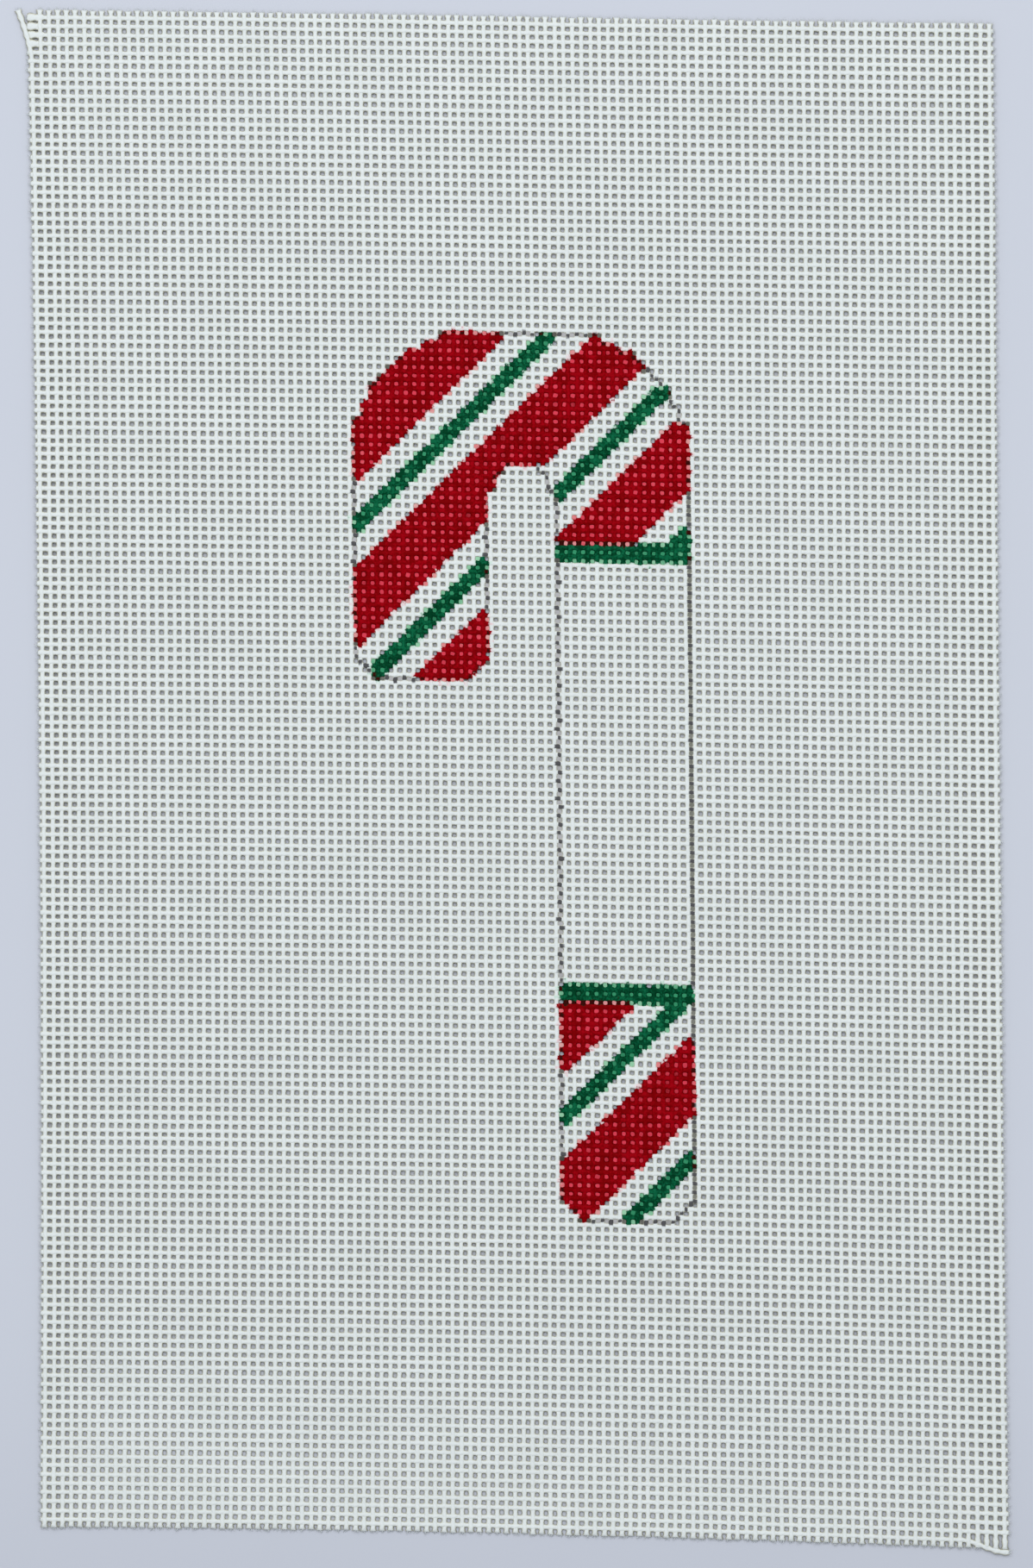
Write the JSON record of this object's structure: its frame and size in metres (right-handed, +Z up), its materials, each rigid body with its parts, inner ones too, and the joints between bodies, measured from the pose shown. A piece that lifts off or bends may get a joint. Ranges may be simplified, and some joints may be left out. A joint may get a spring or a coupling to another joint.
{
  "type": "needlepoint canvas",
  "caption": "Flat rectangle of stiff open-weave needlepoint canvas, painted with the chart of a striped cane to be stitched over.",
  "frame": {"origin": "centre of the underside of the canvas's bounding box, on the surface that it lies on", "axes": "+X across the canvas, to the right in the picture; +Y along it, towards the bend of the painted cane; +Z up, out of the painted side"},
  "size_m": [0.1582, 0.2446, 0.0009],
  "materials": {
    "canvas_thread": "bleached cotton thread, stiffened with size, matt",
    "red_paint": "deep red acrylic paint brushed over the threads, satin",
    "green_paint": "dark green acrylic paint brushed over the threads, satin",
    "outline_ink": "thin dark grey waterproof pen line, matt"
  },
  "bodies": {
    "root": {"canvas": "canvas_thread", "red_stripe_1": "red_paint", "red_stripe_2": "red_paint", "red_stripe_3": "red_paint", "red_stripe_4": "red_paint", "red_stripe_5": "red_paint", "red_stripe_6": "red_paint", "green_stripe_1": "green_paint", "green_stripe_2": "green_paint", "green_stripe_3": "green_paint", "green_stripe_4": "green_paint", "green_stripe_5": "green_paint", "green_stripe_6": "green_paint", "green_band_upper": "green_paint", "green_band_lower": "green_paint", "ink_outline": "outline_ink"}
  },
  "joints": []
}
